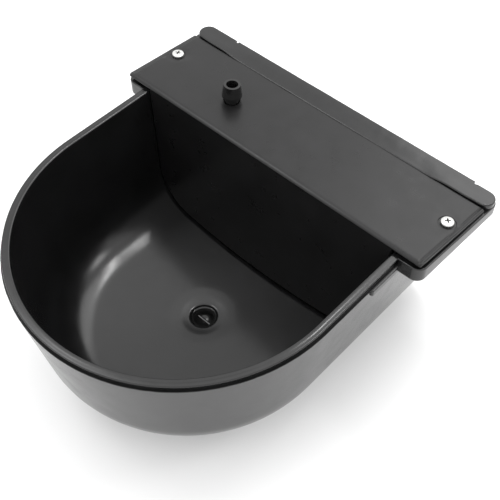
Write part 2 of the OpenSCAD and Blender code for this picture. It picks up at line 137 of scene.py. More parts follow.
def metal(name, dark, light, rough, scale=700.0):
    mat, tree, shader = principled(name, Metallic=1.0)
    blend_colours(tree, noise(tree, scale), dark, light, shader.inputs["Base Color"])
    remap(tree, noise(tree, scale * 1.7, 5.0), rough[0], rough[1], shader.inputs["Roughness"])
    bump(tree, noise(tree, scale * 3), 0.000006, shader)
    return mat


MATERIALS = {
    "shell_plastic": plastic("shell_black", (0.0045,) * 3, (0.0072, 0.0072, 0.0075), (0.17, 0.24)),
    "cover_plastic": plastic(
        "cover_black", (0.0055,) * 3, (0.0082, 0.008, 0.0084), (0.26, 0.36), specular=0.34
    ),
    "valve_plastic": plastic("valve_black", (0.006,) * 3, (0.009,) * 3, (0.10, 0.16)),
    "zinc_screw": metal("zinc", (0.55, 0.55, 0.54), (0.68, 0.68, 0.66), (0.22, 0.34)),
    # Near-black zinc for the screws' cross recesses: painted shade, not a real colour of the metal.
    "painted_recess_shade": metal("zinc_in_shadow", (0.012,) * 3, (0.03,) * 3, (0.4, 0.6)),
    "steel": metal("steel", (0.52, 0.53, 0.55), (0.64, 0.65, 0.67), (0.2, 0.32)),
    "brass": metal("brass", (0.60, 0.43, 0.16), (0.74, 0.55, 0.22), (0.2, 0.35)),
    "acetal": plastic("acetal", (0.70, 0.70, 0.66), (0.78, 0.78, 0.74), (0.28, 0.4)),
    "float_plastic": plastic("float_white", (0.72, 0.73, 0.72), (0.80, 0.80, 0.79), (0.25, 0.38)),
    "rubber": plastic("rubber", (0.012,) * 3, (0.022,) * 3, (0.55, 0.75), fine=2600.0),
}

SLOT_NODES = {
    "shell_plastic": ["bowl_shell", "rear_cap", "drain_plug"],
    "cover_plastic": ["cover"],
    "valve_plastic": ["valve_body", "lever"],
    "zinc_screw": ["cover_screws"],
    "steel": ["valve_screws", "lever_pin", "pin_clip", "float_bolt", "float_washer", "float_nut"],
    "brass": ["float_insert"],
    "acetal": ["nozzle", "piston"],
    "float_plastic": ["float_shell", "float_lid"],
    "rubber": ["valve_gasket", "piston_seal", "drain_gasket"],
}
NODE_SLOTS = {node: slot for slot, nodes in SLOT_NODES.items() for node in nodes}
for node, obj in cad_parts.items():
    mat = MATERIALS[NODE_SLOTS[node]]
    if not obj.data.materials:
        obj.data.materials.append(mat)
    for i in range(len(obj.material_slots)):
        obj.material_slots[i].link = "OBJECT"
        obj.material_slots[i].material = mat


# ---- Mesh building ----


def arc(cx, cz, r, a0, a1, steps):
    """Points on a circle, with the angles in degrees."""
    return [
        (cx + r * math.cos(math.radians(a)), cz + r * math.sin(math.radians(a)))
        for a in (a0 + (a1 - a0) * i / steps for i in range(steps + 1))
    ]


def line(a, b, steps):
    return [tuple(p + (q - p) * i / steps for p, q in zip(a, b)) for i in range(1, steps + 1)]


def ring(x, y, r, count=64):
    turns = [2 * math.pi * i / count for i in range(count)]
    return [(x + r * math.cos(a), y + r * math.sin(a)) for a in turns]


class Build:
    """Gathers one piece's points and faces in millimetres, then makes it a smooth-shaded object."""

    def __init__(self, place=None):
        self.points, self.faces, self.place = [], [], place or (lambda x, y, z: (x, y, z))
        self.shaded = set()

    def add(self, points, faces):
        base = len(self.points)
        self.points += [self.place(*p) for p in points]
        self.faces += [tuple(base + i for i in face) for face in faces]

    def grid(self, rows, closed=False, flip=False):
        """Quads between neighbouring rows of equal length."""
        n = len(rows[0])
        faces = []
        for j in range(len(rows) - 1):
            for i in range(n if closed else n - 1):
                k = (i + 1) % n
                quad = (j * n + i, j * n + k, (j + 1) * n + k, (j + 1) * n + i)
                faces.append(quad[::-1] if flip else quad)
        self.add([p for row in rows for p in row], faces)

    def turned(self, x, y, profile, count=72, flip=False):
        """Surface of revolution about the vertical through x, y; profile is (radius, height)."""
        rows = [[(px, py, z) for px, py in ring(x, y, max(r, 0.001), count)] for r, z in profile]
        self.grid(rows, closed=True, flip=flip)

    def patch(self, outline, holes, inner, to3d, flip=False):
        """Triangles over a flat outline less its holes, lifted to 3-D by to3d(a, b)."""
        loops = [outline] + holes
        points, edges = [], []
        for loop in loops:
            base = len(points)
            points += [Vector(p) for p in loop]
            edges += [(base + i, base + (i + 1) % len(loop)) for i in range(len(loop))]
        points += [Vector(p) for p in inner]
        flat, _, faces, _, _, _ = geometry.delaunay_2d_cdt(points, edges, [], 0, 1e-5)
        kept = []
        for face in faces:
            a, b = sum((flat[i] for i in face), Vector((0, 0))) / len(face)
            if inside((a, b), outline) and not any(inside((a, b), hole) for hole in holes):
                kept.append(tuple(face[::-1] if flip else face))
        self.add([to3d(p.x, p.y) for p in flat], kept)

    def block(self, outline, bottom, top, edge=0.6, steps=3):
        """Upright prism with rolled edges; bottom and top give the height over a point."""
        n = len(outline)
        normals = []
        for i in range(n):
            a, b = Vector(outline[i - 1]), Vector(outline[(i + 1) % n])
            way = (b - a).normalized()
            normals.append(Vector((way.y, -way.x)))
        rows = []
        for i in range(steps + 1):
            a = math.pi / 2 * i / steps
            inset, lift = edge * (1 - math.sin(a)), edge * (1 - math.cos(a))
            rows.append([(*(Vector(p) - m * inset), bottom(*p) + lift) for p, m in zip(outline, normals)])
        for i in range(steps + 1):
            a = math.pi / 2 * i / steps
            inset, drop = edge * (1 - math.cos(a)), edge * (1 - math.sin(a))
            rows.append([(*(Vector(p) - m * inset), top(*p) - drop) for p, m in zip(outline, normals)])
        self.grid(rows, closed=True)
        self.add(rows[0], [tuple(range(n))[::-1]])
        self.add(rows[-1], [tuple(range(n))])

    def piece(self, name, body, slot_name, nodes, sharp=42.0, second=None):
        mesh = bpy.data.meshes.new(name)
        bm = bmesh.new()
        verts = [bm.verts.new(Vector(p) * MM) for p in self.points]
        for k, face in enumerate(self.faces):
            try:
                bm.faces.new([verts[i] for i in face]).material_index = int(k in self.shaded)
            except ValueError:
                pass
        bmesh.ops.remove_doubles(bm, verts=bm.verts, dist=0.004 * MM)
        bmesh.ops.dissolve_degenerate(bm, edges=bm.edges, dist=0.002 * MM)
        bm.to_mesh(mesh)
        bm.free()
        mesh.shade_smooth()
        mesh.set_sharp_from_angle(angle=math.radians(sharp))
        obj = bpy.data.objects.new(name, mesh)
        bpy.context.scene.collection.objects.link(obj)
        mesh.materials.append(MATERIALS[slot_name])
        if second:
            mesh.materials.append(MATERIALS[second])
        even = obj.modifiers.new("even_normals", "WEIGHTED_NORMAL")
        even.keep_sharp = True
        even.weight = 50
        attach(obj, body)
        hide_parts(*nodes)
        return obj


def inside(point, loop):
    x, y = point
    hit = False
    for (x0, y0), (x1, y1) in zip(loop, loop[1:] + loop[:1]):
        if (y0 > y) != (y1 > y) and x < (x1 - x0) * (y - y0) / (y1 - y0) + x0:
            hit = not hit
    return hit


def smooth(edge0, edge1, x):
    t = min(max((x - edge0) / (edge1 - edge0), 0.0), 1.0)
    return t * t * (3 - 2 * t)


def wander(s, seed):
    """Small repeatable unevenness between about -1 and 1 along a length s."""
    return sum(math.sin(s * f + seed * (k + 1.7)) for k, f in enumerate((0.11, 0.29, 0.53, 1.13, 2.3))) / 3


# ---- Bowl ----


class Section:
    """Half section of the basin: drafted wall, fillet and dished floor, as in the CAD."""

    def __init__(self, r_top, top, draft, fillet, dish, base):
        t, cos = math.tan(draft), math.cos(draft)
        a, b = r_top - fillet / cos, base - top + dish
        qa, qb, qc = 1 + t * t, 2 * (a * t - b), a * a + b * b - (dish - fillet) ** 2
        u = (-qb - math.sqrt(qb * qb - 4 * qa * qc)) / (2 * qa)
        self.c = (a + u * t, top + u)
        self.draft, self.fillet, self.dish, self.base = draft, fillet, dish, base
        self.wall_foot = (self.c[0] + fillet * cos, self.c[1] - fillet * math.sin(draft))
        self.steep = math.degrees(math.atan2(self.c[1] - base - dish, self.c[0]))

    def floor(self, r):
        return self.base + self.dish - math.sqrt(self.dish**2 - r * r)

    def curve(self, r_from):
        """From the floor at radius r_from out and up to the foot of the drafted wall."""
        r_touch = self.c[0] + self.fillet * math.cos(math.radians(self.steep))
        out = [(r, self.floor(r)) for r in (r_from + (r_touch - r_from) * i / 4 for i in range(4))]
        return out + arc(*self.c, self.fillet, self.steep, -math.degrees(self.draft), 18)


def shelf_top(y):
    return RIM_Z - SHELF_DROP * min(max((y - SHELF_Y) / (CAP_Y - SHELF_Y), 0.0), 1.0)


INNER = Section(INNER_R, RIM_Z, DRAFT, FILLET_R, DISH_R, FLOOR_Z)
OUTER = Section(OUTER_R, LEDGE_Z, OUTER_DRAFT, OUTER_FILLET_R, DISH_R + WALL, FLOOR_Z - WALL)


def spine(x, y):
    """Distance from the line along the basin's middle, or from its front end."""
    return abs(x) if y > ARC_Y else math.hypot(x, y - ARC_Y)


def wall_profile():
    """The wall's section from the floor patch over the rim to the underside, and two places along it."""
    lip, roll, groove_z = 1.2, 0.7, RIM_Z - 3.9
    top_in = INNER_R - lip * math.tan(DRAFT)
    profile = INNER.curve(PATCH_R)
    profile += line(profile[-1], (top_in, RIM_Z - lip), 9)
    profile += arc(top_in + lip, RIM_Z - lip, lip, 180, 90, 6)[1:]
    rim_row = len(profile)
    profile += [(108.0, RIM_Z), (108.3, RIM_Z), (108.5, RIM_Z - 0.12), (108.8, RIM_Z - 0.12)]
    profile += arc(RIM_R - roll, RIM_Z - 0.12 - roll, roll, 90, 0, 5)
    profile += [(RIM_R - 0.35, RIM_Z - 2.2), (RIM_R - 0.75, groove_z + 0.5), (RIM_R - 0.6, groove_z)]
    ledge_row = len(profile)
    profile += [(OUTER_R - 0.55, groove_z - 0.05), (OUTER_R - 0.25, groove_z + 0.08)]
    profile += [(OUTER_R - 0.02, groove_z - 0.12), (OUTER_R - 0.05, groove_z - 0.6)]
    down = OUTER.curve(UNDER_R)[::-1]
    profile += line(profile[-1], down[0], 10) + down[1:]
    return profile, rim_row, ledge_row


def add_walls(made):
    """Walls swept along both sides and around the front; returns the inner rows and the outer ones."""
    profile, rim_row, ledge_row = wall_profile()
    straight = [BACK_Y, 122.0, CAP_Y + 0.05, CAP_Y - 0.05, 100.0, 85.0, 70.0, 58.0, COVER_Y]
    straight += [SHELF_Y + 0.1, SHELF_Y - 0.1]
    straight += [SHELF_Y - 0.1 + (ARC_Y - SHELF_Y + 0.1) * i / 14 for i in range(1, 14)]
    turns = [math.pi + math.pi * i / 120 for i in range(121)]
    places = [(-1, y) for y in straight] + [(0, a) for a in turns] + [(1, y) for y in reversed(straight)]

    def station_points(r, z, row):
        out = []
        s = 0.0
        for side, v in places:
            rr, zz = r, z
            s += 2.5
            if ledge_row <= row < ledge_row + 4:
                ragged = wander(s, 1.0) * 0.1 + wander(s * 3.1, 4.0) * 0.06
                rr += min(ragged, 0.02)
                zz += ragged * (0.9 if row == ledge_row + 3 else 0.5)
            if side == 0:
                out.append((rr * math.cos(v), ARC_Y + rr * math.sin(v), zz))
            else:
                y = BACK_Y - WALL if row < rim_row and v == BACK_Y else v
                if y > SHELF_Y:
                    zz = min(zz, shelf_top(y) - 0.05)
                out.append((side * rr, y, zz))
        return out

    rows = [station_points(r, z, k) for k, (r, z) in enumerate(profile)]
    made.grid(rows, flip=True)
    return rows[:rim_row], rows[rim_row:]


def floor_height(x, y):
    """The dished floor, with a soft sink and a rolled mouth around the drain."""
    z = INNER.floor(spine(x, y))
    d = math.hypot(x, y - DRAIN_Y)
    z -= SINK_DEPTH * (0.4 * (1 - smooth(13.0, 26.0, d)) + 0.5 * (1 - smooth(9.2, 17.5, d)))
    mouth = 1.6
    if d < DRAIN_R + mouth:
        t = min(max((DRAIN_R + mouth - d) / mouth, 0.0), 1.0)
        z -= mouth * (1 - math.sqrt(max(1 - t * t, 0.0)))
    return z


def add_floor(made, edge):
    closing = [(PATCH_R - 2 * PATCH_R * i / 14, edge[0][1]) for i in range(1, 14)]
    outline = [(p[0], p[1]) for p in edge] + closing
    rings = [DRAIN_R + 1.6 * (1 - math.cos(math.pi / 2 * i / 5)) for i in range(1, 6)]
    rings += [11.2, 12.0, 13.0, 14.2, 15.5, 16.8, 18.0, 19.2, 20.4, 21.5, 22.3, 23.2, 24.5, 27.0, 30.0, 34.0]
    spots = [p for r in rings for p in ring(0, DRAIN_Y, r, 96)]
    for x, y in ((i * 5.8, ARC_Y + j * 5.8) for i in range(-9, 10) for j in range(-13, 25)):
        if spine(x, y) < PATCH_R - 3 and math.hypot(x, y - DRAIN_Y) > 36.5 and y < BACK_Y - WALL - 2:
            spots.append((x, y))
    mouth = ring(0, DRAIN_Y, DRAIN_R, 96)
    made.patch(outline, [mouth], spots, lambda x, y: (x, y, floor_height(x, y)))
    bore = [[(x, y, floor_height(x, y)) for x, y in mouth]]
    bore += [[(x, y, z) for x, y in mouth] for z in (floor_height(DRAIN_R, DRAIN_Y) - 1.0, 12.0, BOSS_Z)]
    made.grid(bore, closed=True, flip=True)


def add_underside(made, edge):
    """Underside, drain boss and foot ring."""
    closing = [(UNDER_R - 2 * UNDER_R * i / 12, BACK_Y) for i in range(1, 12)]
    outline = [(p[0], p[1]) for p in edge] + closing
    spots = [(x * 8.0, ARC_Y + y * 8.0) for x in range(-6, 7) for y in range(-6, 19)]
    spots = [p for p in spots if spine(*p) < UNDER_R - 3 and math.hypot(p[0], p[1] - DRAIN_Y) > BOSS_R + 3]
    boss = ring(0, DRAIN_Y, BOSS_R, 72)
    made.patch(outline, [boss], spots, lambda x, y: (x, y, OUTER.floor(spine(x, y))), flip=True)
    made.turned(0, DRAIN_Y, [(DRAIN_R, BOSS_Z), (BOSS_R - 0.6, BOSS_Z), (BOSS_R - 0.2, BOSS_Z + 0.2),
                             (BOSS_R, BOSS_Z + 0.6), (BOSS_R, 14.2)])
    made.turned(0, DRAIN_Y, [(FOOT_R - 4, 16.0), (FOOT_R - 4, 0.8), (FOOT_R - 3.8, 0.25), (FOOT_R - 3.2, 0),
                             (FOOT_R - 0.8, 0), (FOOT_R - 0.2, 0.25), (FOOT_R, 0.8), (FOOT_R, 16.0)])


def rear_outline(side, bottom):
    """The rear wall's outline, from the wall section's end points and the floor between them."""
    left = [p for p in sorted(side, key=lambda p: -p[1]) if p[1] < CAP_Z - 0.01]
    out = [(-abs(left[0][0]), CAP_Z)] + [(-abs(x), z) for x, z in left] + bottom
    return out + [(abs(x), z) for x, z in reversed(left)] + [(abs(left[0][0]), CAP_Z)]


def add_rear_wall(made, inner_rows, outer_rows):
    """Rear wall with its two screw holes."""
    holes = [ring(x, RIM_Z - WALL_HOLE_DROP, WALL_HOLE_R, 40) for x in (-WALL_HOLE_X, WALL_HOLE_X)]
    faces = ((outer_rows, UNDER_R, OUTER, BACK_Y, True), (inner_rows, PATCH_R, INNER, BACK_Y - WALL, False))
    for rows, reach, section, at_y, flip in faces:
        low = [(x, section.floor(abs(x))) for x in (-reach + 2 * reach * (i / 12) for i in range(1, 12))]
        outline = rear_outline([(row[0][0], row[0][2]) for row in rows], low)
        made.patch(outline, holes, [], lambda x, z: (x, at_y, z), flip=flip)
    top = [(-OUTER_R, BACK_Y - WALL), (OUTER_R, BACK_Y - WALL), (OUTER_R, BACK_Y), (-OUTER_R, BACK_Y)]
    made.add([(x, y, CAP_Z) for x, y in top], [(0, 1, 2, 3)])
    for hole in holes:
        made.grid([[(x, y, z) for x, z in hole] for y in (BACK_Y, BACK_Y - WALL)], closed=True)


def add_shelf_end(made, side):
    """The shelf beside the cover, which flares a little on the right, and the pad in front of it."""
    corner, pad_r = SHELF_CORNER_R, 1.3
    x0, x1 = RIM_R - 0.8, SHELF_W / 2
    outline = [(x0, SHELF_Y)] + arc(x1 - corner, SHELF_Y + corner, corner, -90, 0, 10)
    outline += line((x1, SHELF_Y + corner), (x1, BACK_Y - corner), 8)
    outline += arc(x1 - corner, BACK_Y - corner, corner, 0, 90, 10)[1:] + [(x0, BACK_Y)]
    outline += line((x0, BACK_Y), (x0, SHELF_Y), 8)[:-1]
    if side < 0:
        outline = [(-x, y) for x, y in reversed(outline)]
    else:
        flare = SHELF_FLARE / (x1 - x0) / (BACK_Y - SHELF_Y)
        outline = [(x + flare * (x - x0) * (y - SHELF_Y), y) for x, y in outline]
    made.block(outline, lambda x, y: RIM_Z - SHELF_H, lambda x, y: shelf_top(y), edge=0.8)
    x0, x1, y0, y1 = RIM_R - 0.5, OUTER_R + PAD_REACH, SHELF_Y - PAD_D, SHELF_Y + 0.5
    outline = arc(x1 - pad_r, y0 + pad_r, pad_r, -90, 0, 5) + [(x1, y1), (x0, y1), (x0, y0)]
    if side < 0:
        outline = [(-x, y) for x, y in reversed(outline)]
    made.block(outline, lambda x, y: LEDGE_Z - PAD_H, lambda x, y: LEDGE_Z + 0.4, edge=0.7)


def add_rear_foot(made, left):
    right, front, front_r, back_r = left + REAR_FOOT_W, BACK_Y - REAR_FOOT_D, 2.0, 0.8
    outline = arc(left + front_r, front + front_r, front_r, 180, 270, 4)
    outline += arc(right - front_r, front + front_r, front_r, 270, 360, 4)
    outline += arc(right - back_r, BACK_Y - back_r, back_r, 0, 90, 3)
    outline += arc(left + back_r, BACK_Y - back_r, back_r, 90, 180, 3)
    made.block(outline, lambda x, y: 0.0, lambda x, y: FLOOR_Z, edge=0.7)


def bowl():
    made = Build()
    inner_rows, outer_rows = add_walls(made)
    add_floor(made, inner_rows[0])
    add_underside(made, outer_rows[-1])
    add_rear_wall(made, inner_rows, outer_rows)
    for side in (-1, 1):
        add_shelf_end(made, side)
    for left in REAR_FEET_X:
        add_rear_foot(made, left)
    return made.piece("bowl", "bowl", "shell_plastic", ["bowl_shell"])


# ---- Rear cap: a bar with round ends, two notches, and a middle that closes up to the cover ----


def rear_cap():
    top, radius = CAP_Z + CAP_H, (BACK_Y - CAP_Y) / 2
    left, right = CAP_X - CAP_W / 2, CAP_X + CAP_W / 2
    cover_rear_z = RIM_Z + COVER_RISE - COVER_D * math.sin(TILT)

    def front_y(x):
        """The front edge runs on to the cover between its two ends."""
        ends = 0.55 * (1 - smooth(111.0, 120.0, abs(x)))
        middle = (BRIDGE_REACH + 0.3) * (1 - smooth(BRIDGE_W / 2 - 14, BRIDGE_W / 2, abs(x)))
        return CAP_Y - ends - middle

    def height(x, y):
        """The middle slopes down to the cover's rear edge; the ends stay level."""
        middle = 1 - smooth(BRIDGE_W / 2 - 22, BRIDGE_W / 2 + 2, abs(x))
        back = (y - front_y(x)) / (BACK_Y - CAP_Y)
        sag = (top - cover_rear_z - 0.55) * middle * (1 - smooth(0.05, 0.8, back))
        return top - sag - 0.1 - 0.09 * (1 + wander(x * 0.35, 2.0)) * smooth(0.3, 0.6, back)

    def notch(x, out, back_to):
        """A small rounded notch, cut from right to left."""
        return [(x + 1.3, out), (x + 0.95, BACK_Y - NOTCH_D + 0.35), (x + 0.5, BACK_Y - NOTCH_D),
                (x - 0.6, BACK_Y - NOTCH_D), (x - 1.0, BACK_Y - NOTCH_D + 0.4), (x - 1.3, back_to)]

    set_back = BACK_Y - EAR_SETBACK
    low = (set_back - CAP_Y) / 2
    run = right - low - left - radius
    outline = [(x, front_y(x)) for x in (left + radius + run * i / 60 for i in range(61))]
    outline += arc(right - low, CAP_Y + low, low, -90, 90, 18)[1:]
    outline += line((right - low, set_back), (NOTCH_X[1] + 1.3, set_back), 2)[:-1]
    outline += notch(NOTCH_X[1], set_back, BACK_Y - 0.05)
    outline += line((NOTCH_X[1] - 1.3, BACK_Y - 0.05), (NOTCH_X[0] + 1.3, BACK_Y - 0.05), 50)[:-1]
    outline += notch(NOTCH_X[0], BACK_Y - 0.05, BACK_Y)
    outline += line((NOTCH_X[0] - 1.3, BACK_Y), (left + radius, BACK_Y), 5)
    outline += arc(left + radius, CAP_Y + radius, radius, 90, 270, 30)[1:-1]

    made = Build()
    made.block(outline, lambda x, y: CAP_Z, height, edge=0.9, steps=4)
    rim = [made.points[i] for i in made.faces.pop()]
    flat = [(p[0], p[1]) for p in rim]
    margin = [(x * 0.985, CAP_Y + radius + (y - CAP_Y - radius) * 0.84) for x, y in flat]
    inner = [(x * 3.0, CAP_Y + 0.9 + k * 1.4) for x in range(-42, 43) for k in range(10)]
    inner = [p for p in inner if inside(p, margin)]
    known = {(round(x, 3), round(y, 3)): z for x, y, z in rim}
    made.patch(flat, [], inner, lambda x, y: (x, y, known.get((round(x, 3), round(y, 3)), height(x, y))))
    bars = ((-98, CAP_Y - 4, CAP_Z - 3, 196, 7, 2.8), (-90, BACK_Y - WALL - 2.6, CAP_Z - 7, 180, 2.4, 7.5))
    for x0, y0, z0, w, d, h in bars:
        box = [(x0, y0), (x0 + w, y0), (x0 + w, y0 + d), (x0, y0 + d)]
        made.block(box, lambda x, y: z0, lambda x, y: z0 + h, edge=0.3)
    return made.piece("cap", "bowl", "shell_plastic", ["rear_cap"])


# ---- Cover and baffle ----


def on_cover(x, v, w):
    return (
        x,
        COVER_Y + v * math.cos(TILT) + w * math.sin(TILT),
        RIM_Z + COVER_RISE - v * math.sin(TILT) + w * math.cos(TILT),
    )


def skew(x, v):
    """The cover's right side runs a little outward towards the rear."""
    t = min(max((x - 95.0) / (COVER_W / 2 - 100.0), 0.0), 1.0)
    return x + COVER_FLARE * v / COVER_D * t


def cover_height(x, v):
    """The cover's top face: moulding warp, sunk rings around screws and inlet, a groove inside each lip."""
    w = -0.16 + 0.05 * math.sin(x * 0.045 + 0.6) * math.sin(v * 0.09 + 0.4)
    w += 0.035 * math.sin(x * 0.11 + v * 0.05)
    for side in (-1, 1):
        d = math.hypot(x - side * SCREW_X, v - SCREW_V)
        w -= 0.28 * math.exp(-((max(d - 5.6, 0) / 3.2) ** 2))
        d = math.hypot(x - side * (SCREW_X - 8), v - SCREW_V + 1)
        w += 0.10 * math.exp(-((d / 4.2) ** 2))
        d = math.hypot(x - side * (COVER_W / 2 - 7.5), (v - COVER_D + 5.0) * 1.3)
        w += 0.12 * math.exp(-((d / 4.0) ** 2))
    d = math.hypot(x - INLET_X, v - INLET_V)
    w -= 0.10 * math.exp(-((max(d - 6.5, 0) / 5.0) ** 2))
    groove = max(skew(COVER_W / 2, v) - x, 0.0) if x > 0 else COVER_W / 2 + x
    groove -= 2.6
    w -= 0.4 * math.exp(-((groove / 0.6) ** 2))
    w += 0.14 * math.exp(-(((groove + 1.4) / 0.7) ** 2))
    return min(w, -0.005)


def cover_grid():
    """The places across and along the cover's top where its faces meet."""
    half = COVER_W / 2
    xs = [half - d for d in (LIP, 1.3, 1.6, 1.9, 2.2, 2.45, 2.6, 2.8, 3.1, 3.5, 4.1, 5.0)]
    xs = sorted(xs + [i * 4.2 for i in range(0, 29)])
    xs = [-x for x in reversed(xs[1:])] + xs
    vs = [NOSE] + [NOSE + (COVER_D - REAR_EDGE - NOSE) * k / 15 for k in range(1, 16)]
    return xs, vs


def add_cover_top(made):
    """The top face, with a sunk seat for each screw and the hose inlet's hole."""
    half = COVER_W / 2
    xs, vs = cover_grid()
    outline = [(skew(x, vs[0]), vs[0]) for x in xs] + [(skew(xs[-1], v), v) for v in vs[1:]]
    outline += [(skew(x, vs[-1]), vs[-1]) for x in reversed(xs[:-1])]
    outline += [(xs[0], v) for v in reversed(vs[1:-1])]
    seats = [(side * SCREW_X, SCREW_V, RECESS_R + 0.3) for side in (-1, 1)]
    inlet = (INLET_X, INLET_V, INLET_R)
    holes = seats + [inlet]

    def clear(x, v):
        margin = 0.7 if abs(x) > half - 3.6 else 4.4
        return all(math.hypot(x - a, v - b) > r + margin for a, b, r in holes)

    spots = [(skew(x, v), v) for x in xs[1:-1] for v in vs[1:-1]]
    spots = [p for p in spots if clear(*p)]
    for a, b, r in holes:
        for grow in (0.5, 1.2, 2.0, 3.0, 4.0):
            spots += [p for p in ring(a, b, r + grow, 48) if abs(p[0]) < half - 4.1]
    made.patch(outline, [ring(*hole, 48) for hole in holes], spots, lambda x, v: (x, v, cover_height(x, v)))

    def sink(a, b, r, steps, ceiling):
        """Wall of a hole: its first rows follow the cover's top, the first one exactly."""
        rim = [cover_height(*q) for q in ring(a, b, r, 48)]
        rows = []
        for k, (radius, w) in enumerate(steps):
            levels = [top if k == 0 else min(top + w, ceiling) if k < 4 else w for top in rim]
            rows.append([(x, v, level) for (x, v), level in zip(ring(a, b, radius, 48), levels)])
        made.grid(rows, closed=True, flip=True)

    for a, b, r in seats:
        steps = [(r, 0.0), (r - 0.12, -0.05), (r - 0.25, -0.16), (r - 0.3, -0.35), (r - 0.3, -RECESS_D)]
        sink(a, b, r, steps + [(2.3, -RECESS_D), (2.3, -COVER_T)], -0.2)
    a, b, r = inlet
    sink(a, b, r, [(r, 0.0), (r - 0.15, -0.05), (r - 0.3, -0.2), (r - 0.35, -0.5), (r - 0.35, -COVER_T)], 0.0)


def add_cover_edges(made):
    """Rolled nose in front, a lip down each side, the rear edge and the flat underside."""
    half, under = COVER_W / 2, -COVER_T - 0.5
    xs, vs = cover_grid()
    turns = [math.radians(9 * k) for k in range(11)]
    roll = [(NOSE * (1 - math.sin(a)), COVER_T * (math.cos(a) - 1)) for a in turns]
    rows = []
    for k, (v, w) in enumerate(roll):
        rows.append([(skew(x, NOSE), v, w + cover_height(x, NOSE) * (1 - k / 10)) for x in xs])
    made.grid(rows, flip=True)
    sides = [(0.0, 0.0), (0.38, -0.07), (0.72, -0.25), (0.97, -0.57), (1.1, -1.0), (1.1, under + 0.2)]
    sides += [(0.9, under), (-0.85, under), (-0.85, -COVER_T)]
    for side in (-1, 1):
        edge = side * (half - LIP)
        rows = []
        for k, (out, w) in enumerate(sides):
            x = side * (half - LIP + out)
            drops = [cover_height(skew(edge, v), v) if k < 2 else 0.0 for v in vs]
            rows.append([(skew(x, v), v, w + drop) for v, drop in zip(vs, drops)])
        made.grid(rows, flip=side > 0)
        x = skew(edge, NOSE)
        start = [(x, v, w + cover_height(x, NOSE) * (1 - k / 10)) for k, (v, w) in enumerate(roll)]
        corner = [(x + side * 1.0, v + 0.4, min(w, -0.5)) for v, w in roll]
        made.grid([start, corner, [(p[0], p[1], -COVER_T) for p in corner]], flip=side > 0)
        rear_end = [(skew(side * (half - LIP + out), vs[-1]), vs[-1], w) for out, w in sides]
        made.add(rear_end, [tuple(range(len(rear_end)))[::side]])
    end = vs[-1]
    rows = []
    for k, (out, w) in enumerate(((0.0, 0.0), (0.25, -0.06), (0.45, -0.32), (0.55, -0.55), (0.55, -COVER_T))):
        ends = [skew(x, end) for x in xs]
        rows.append([(x, end + out, w + (cover_height(x, end) if k < 2 else 0.0)) for x in ends])
    made.grid(rows)
    corners = [(-half + 0.1, 0.3), (half - 0.1, 0.3), (half - 0.1, COVER_D), (-half + 0.1, COVER_D)]
    made.add([(x, v, -COVER_T) for x, v in corners], [(3, 2, 1, 0)])


def add_baffle(made):
    """The hanging plate: the basin's section, a little smaller, with rounded edges."""
    reach = INNER_R - 1.2
    section = Section(reach, RIM_Z, DRAFT, FILLET_R, DISH_R, FLOOR_Z + 2.6)
    right = section.curve(0.001) + line(section.wall_foot, (reach, RIM_Z), 6)
    half_line = [(r, z - RIM_Z - COVER_RISE) for r, z in right] + [(reach, -COVER_T)]
    whole = [(-r, w) for r, w in reversed(half_line[1:])] + half_line
    centre = Vector((0.0, -55.0))

    def shrink(p, d):
        way = (Vector(p) - centre).normalized()
        return (p[0] - way.x * d, min(p[1] - way.y * d, -COVER_T))

    edge = ((0.8, 0.0), (0.24, 0.24), (0, 0.8), (0, 1.4), (0.24, 1.96), (0.8, COVER_T))
    rows = [[(x, v, w) for x, w in (shrink(p, d) for p in whole)] for d, v in edge]
    made.grid(rows)
    for row, flip in ((rows[0], False), (rows[-1], True)):
        face = [(x, w) for x, v, w in row]
        margin = [(x * 0.95, w * 0.95 if w < -20 else w) for x, w in face]
        spots = [(x * 9.0, -3.5 - k * 8.6) for x in range(-11, 12) for k in range(14)]
        spots = [p for p in spots if inside(p, margin)]
        made.patch(face, [], spots, lambda x, w: (x, row[0][1], w), flip=flip)


def cover():
    made = Build(on_cover)
    add_cover_top(made)
    add_cover_edges(made)
    add_baffle(made)
    return made.piece("cover_plate", "bowl", "cover_plastic", ["cover"], sharp=50.0)


# ---- Screws and drain plug ----


def cross_screw(made, x0, v0, turn, head_r, head_h, seat, shank_r, shank_l):
    """Pan head with a tapered cross recess, drawn with its seat at the height seat."""

    def surface(r):
        edge = max(r - head_r + 0.6, 0.0)
        return seat + head_h - 0.75 * (r / head_r) ** 2.4 - 0.6 + math.sqrt(max(0.36 - edge**2, 0.0))

    def height(x, y):
        a, b = x * math.cos(turn) + y * math.sin(turn), y * math.cos(turn) - x * math.sin(turn)
        arm = min(max(abs(a) - 2.0, abs(b) - 0.45), max(abs(b) - 2.0, abs(a) - 0.45))
        depth = 1.1 * (1 - smooth(0.0, 2.4, math.hypot(x, y))) + 0.35
        return surface(math.hypot(x, y)) - depth * (1 - smooth(-0.22, 0.05, arm))

    rows = []
    for r in [head_r * k / 30 for k in range(31)]:
        rows.append([(x0 + x, v0 + y, height(x, y)) for x, y in ring(0, 0, max(r, 0.002), 96)])
    first = len(made.faces)
    side = [(head_r, seat + 0.9), (head_r, seat + 0.25), (head_r - 0.2, seat)]
    side += [(shank_r, seat), (shank_r, seat - shank_l)]
    lowest = min(p[2] for p in rows[-1])
    for r, w in side:
        rows.append([(x0 + x, v0 + y, min(w, lowest)) for x, y in ring(0, 0, r, 96)])
    made.grid(rows, closed=True, flip=True)
    # Faces sunk deep in the cross take the second, near-black zinc material: painted shade in the recess.
    for k in range(first, first + 30 * 96):
        ring_no, spoke = divmod(k - first, 96)
        spot = [p[:2] for p in ring(0, 0, head_r * (ring_no + 0.5) / 30, 192)][2 * spoke + 1]
        if surface(math.hypot(*spot)) - height(*spot) > 0.12:
            made.shaded.add(k)


